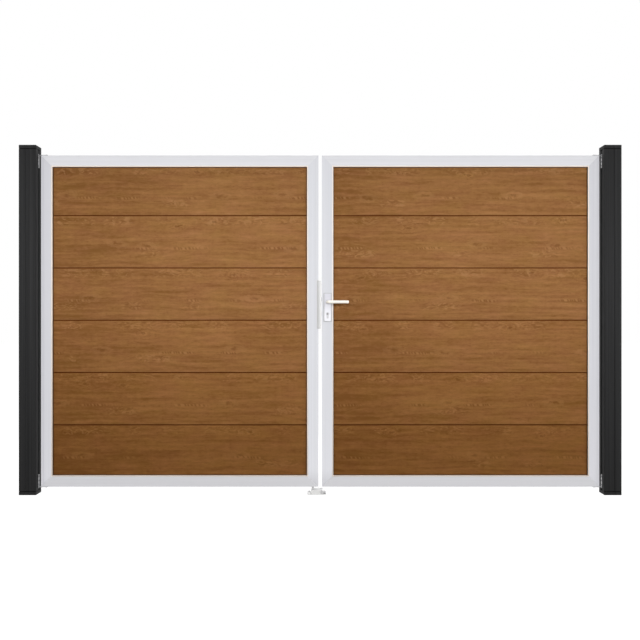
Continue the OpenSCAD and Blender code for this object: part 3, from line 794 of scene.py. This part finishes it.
# The underlay's grey stands as painted shade all round the plate.
grey_underlay_as_shade = plain_finish(
    "grey_underlay_as_shade", (0.57, 0.57, 0.58), (0.52, 0.52, 0.53), 60.0, 0.5, 0.02 * MM,
    roughness=0.6, specular=0.2,
)
underlay_w = 4.5 * MM
around = (low.x - underlay_w, high.x + underlay_w, low.z - underlay_w, high.z + underlay_w)
for face, way in (("front", -1), ("back", 1)):
    underlay = bmesh.new()
    depths = (way * (half_frame_d - 0.3 * MM), way * (half_frame_d + 1 * MM))
    rectangle_ring(underlay, around, underlay_w, depths, edge=0.5 * MM)
    finish_piece(f"{face}_plate_underlay", underlay, grey_underlay_as_shade, "right_leaf")
    eased(f"{face}_handle_plate", 1.6 * MM, plate_coat)
    bent_lever(f"{face}_bent_lever", f"{face}_lever", way, lever_coat)
dress("spindle", satin_steel)
low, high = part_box("back_handle_plate")
plate_x = (low.x + high.x) / 2
places = [(plate_x, high.y - 0.2 * MM, z) for z in (low.z + 12 * MM, high.z - 14 * MM)]
screw_heads("plate_screws", places, (0, 1, 0), "right_leaf", radius=3.5 * MM, height=0.8 * MM)


# ---------------------------------------------------------------------------------------------
# Drop bolt: a steel rod that slides in a guide bush inside the left meeting stile. A coated
# knob is screwed on its stem, which runs in the slot of a plate on the back of the leaf.
# ---------------------------------------------------------------------------------------------
knob_r = 13 * MM
knob_l = 22 * MM
rod = closed_copy("drop_bolt")
low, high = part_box("drop_bolt")
knob_y = high.y - knob_l
stem_z = high.z - 30 * MM
cut = bmesh.ops.bisect_plane(
    rod, geom=rod.verts[:] + rod.edges[:] + rod.faces[:], plane_co=(0, knob_y - 0.2 * MM, 0),
    plane_no=(0, 1, 0), clear_outer=True,
)["geom_cut"]
bmesh.ops.contextual_create(rod, geom=[g for g in cut if isinstance(g, bmesh.types.BMEdge)])
eased("drop_bolt", 1 * MM, satin_steel, rod)
knob = bmesh.new()
grip = rounding(knob_r, knob_l, 3 * MM)
waist = (knob_r - 2.5 * MM, 6 * MM)
knob_profile = [(0, 0), (8 * MM, 0), (8 * MM, 3 * MM), waist, (knob_r, 10 * MM), *grip]
knob_profile += [(knob_r - 5 * MM, knob_l - 0.8 * MM), (0, knob_l - 0.8 * MM)]
rod_x = (low.x + high.x) / 2
turned(knob, knob_profile, (rod_x, knob_y, stem_z), (0, 1, 0), sides=40)
finish_piece("drop_bolt_knob", knob, post_coat, "drop_bolt_body")
eased("drop_bolt_plate", 0.5 * MM, satin_steel)
low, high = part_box("drop_bolt_plate")
places = [(rod_x, high.y, z) for z in (low.z + 10 * MM, high.z - 10 * MM)]
screw_heads("slot_plate_screws", places, (0, 1, 0), "left_leaf", radius=4 * MM, height=1.8 * MM)
dress("drop_bolt_guide", satin_steel)


# ---------------------------------------------------------------------------------------------
# Floor keeper: a galvanised block on a floor plate, with the socket for the drop bolt, a grey
# rubber buffer bedded on a pale strip beside it, whose near-white stands as painted light in the
# slit, and four zinc anchor bolts with washers through the plate's wings. Its top is painted
# brighter, as light from above, and the front right bolt is coloured darker.
# ---------------------------------------------------------------------------------------------
low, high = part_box("floor_keeper")


# The keeper's top is painted brighter, as light from above.
def lit_top_of_keeper(tree, position):
    up = add(tree, "SeparateXYZ", Vector=position).outputs["Z"]
    return step_between(tree, up, high.z - 1.2 * MM, high.z - 0.2 * MM)


galvanised = drawn_metal(
    "galvanised", (0.79, 0.79, 0.78), lines=0.04, speckle=0.2, relief=0.05 * MM,
    painted_light_and_tints=[((0.98, 0.98, 0.97), lit_top_of_keeper)], metallic=0.6, roughness=0.5,
)
buffer_rubber = plain_finish(
    "buffer_rubber", (0.84, 0.84, 0.84), (0.76, 0.76, 0.76), 40.0, 0.6, 0.04 * MM,
    roughness=0.5, specular=0.3,
)
# The strip's near-white stands as painted light in the slit beside the buffer.
pale_strip_as_light = plain_finish(
    "pale_strip_as_light", (0.97, 0.97, 0.96), (0.88, 0.88, 0.87), 60.0, 0.4, 0.02 * MM,
    roughness=0.5, specular=0.3,
)


# The front right bolt is coloured darker.
def front_right_bolt(tree, position):
    parts = add(tree, "SeparateXYZ", Vector=position).outputs
    right = step_between(tree, parts["X"], high.x - 25 * MM, high.x - 20 * MM)
    return calc(tree, "MULTIPLY", right, step_between(tree, parts["Y"], 5 * MM, -5 * MM))


zinc = drawn_metal(
    "zinc", (1.0, 1.0, 1.0), lines=0.05, speckle=0.1, relief=0.03 * MM,
    painted_light_and_tints=[((0.36, 0.36, 0.36), front_right_bolt)], metallic=0.2, roughness=0.45,
)
eased("floor_keeper", 1.2 * MM, galvanised)
eased("keeper_buffer", 1.5 * MM, buffer_rubber)
plate_top = 6 * MM
buffer_low, buffer_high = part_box("keeper_buffer")
slit_w = 3.5 * MM
strip_low = Vector((buffer_low.x - slit_w, buffer_low.y + 1 * MM, plate_top))
strip_high = Vector((buffer_low.x, buffer_high.y - 1 * MM, buffer_high.z - 1 * MM))
strip = bmesh.new()
bmesh.ops.create_cube(strip, size=1.0)
bmesh.ops.scale(strip, vec=strip_high - strip_low, verts=strip.verts)
bmesh.ops.translate(strip, vec=(strip_low + strip_high) / 2, verts=strip.verts)
ease_edges(strip, 0.5 * MM)
finish_piece("buffer_bed", strip, pale_strip_as_light, "posts")
anchor_inset = 10 * MM
washer_h = 1.2 * MM
head_h = 4 * MM
head_r = 5.8 * MM
washer_r = 7.2 * MM
washer_profile = [(0, 0), (washer_r, 0), *rounding(washer_r, washer_h, 0.4 * MM), (0, washer_h)]
anchors = bmesh.new()
for x in (low.x + anchor_inset, high.x - anchor_inset):
    for y in (low.y + anchor_inset, high.y - anchor_inset):
        turned(anchors, washer_profile, (x, y, plate_top), (0, 0, 1), sides=24)
        middle_z = plate_top + washer_h + head_h / 2
        hexagon = bmesh.ops.create_cone(
            anchors, cap_ends=True, segments=6, radius1=head_r, radius2=head_r, depth=head_h,
            matrix=Matrix.Translation((x, y, middle_z)),
        )["verts"]
        on_top = [v for v in hexagon if v.co.z > middle_z]
        rim = {e for v in on_top for e in v.link_edges if e.other_vert(v) in on_top}
        ease_edges(anchors, 0.8 * MM, edges=list(rim))
finish_piece("anchor_bolts", anchors, zinc, "posts")


# ---------------------------------------------------------------------------------------------
# Studio: a plain pale floor, a white room, a long strip light in front and one behind, a broad
# light far out on each side and one overhead, and the camera level in front of the gateway.
# ---------------------------------------------------------------------------------------------
def seen_directly(tree):
    """1 for what the camera sees, straight or in gloss or glass, and 0 for light's own paths."""
    rays = add(tree, "LightPath").outputs
    gloss = calc(tree, "MAXIMUM", rays["Is Glossy Ray"], rays["Is Transmission Ray"])
    return calc(tree, "MAXIMUM", rays["Is Camera Ray"], gloss)


scene = bpy.context.scene
scene.view_settings.view_transform = "Standard"
middle = (cad_low + cad_high) / 2
room_light = 0.3
floor_white = 0.93
floor_shade = 0.3

world = bpy.data.worlds.new("white_room")
scene.world = world
world.use_nodes = True
tree = world.node_tree
strength = calc(tree, "MULTIPLY_ADD", seen_directly(tree), 1 - room_light, room_light)
put(tree, tree.nodes["Background"].inputs["Strength"], strength)
tree.nodes["Background"].inputs["Color"].default_value = (1.0, 1.0, 1.0, 1.0)

floor_bm = bmesh.new()
under_the_gate = Matrix.Translation((middle.x, 0, 0))
bmesh.ops.create_grid(floor_bm, x_segments=1, y_segments=1, size=30.0, matrix=under_the_gate)
floor_mesh = bpy.data.meshes.new("floor")
floor_bm.to_mesh(floor_mesh)
floor_bm.free()
floor = bpy.data.objects.new("floor", floor_mesh)
scene.collection.objects.link(floor)
floor_paint = bpy.data.materials.new("floor_paint")
floor_paint.use_nodes = True
tree = floor_paint.node_tree
tree.nodes.clear()
matt = add(tree, "BsdfDiffuse", Color=(floor_shade, floor_shade, floor_shade, 1.0))
glow = add(tree, "Emission", Strength=calc(tree, "MULTIPLY", seen_directly(tree), floor_white))
both = add(tree, "AddShader")
put(tree, both.inputs[0], matt.outputs[0])
put(tree, both.inputs[1], glow.outputs[0])
put(tree, add(tree, "OutputMaterial").inputs["Surface"], both.outputs[0])
floor_mesh.materials.append(floor_paint)


def softbox(name, place, target, width, height, level):
    """A panel of light. Level is its brightness, where the white of the room is 1."""
    lamp = bpy.data.lights.new(name, "AREA")
    lamp.shape = "RECTANGLE"
    lamp.size = width
    lamp.size_y = height
    lamp.energy = level * math.pi * width * height
    box = bpy.data.objects.new(name, lamp)
    box.location = place
    box.rotation_euler = (Vector(target) - Vector(place)).to_track_quat("-Z", "Y").to_euler()
    box.visible_camera = False
    box.visible_glossy = False
    scene.collection.objects.link(box)


strip_z = 1.3
softbox("front_strip", (middle.x, -1.1, strip_z), (middle.x, 0, strip_z), 6.0, 0.4, 3.2)
softbox("back_strip", (middle.x, 2.4, 1.5), (middle.x, 0, 1.1), 6.0, 0.8, 3.2)
softbox("right_light", (middle.x + 19, -15, 5), (middle.x, 0, 1), 9.0, 9.0, 6.5)
softbox("left_light", (middle.x - 19, -15, 5), (middle.x, 0, 1), 9.0, 9.0, 2.0)
softbox("overhead_light", (middle.x, -0.3, 5), (middle.x, -0.3, 0), 6.0, 3.0, 1.4)

camera = bpy.data.objects.new("camera", bpy.data.cameras.new("camera"))
camera.data.lens = 50
camera.location = (middle.x - 1 * MM, -4.865, 0.95)
camera.rotation_euler = (math.radians(90), 0, 0)
scene.collection.objects.link(camera)
scene.camera = camera
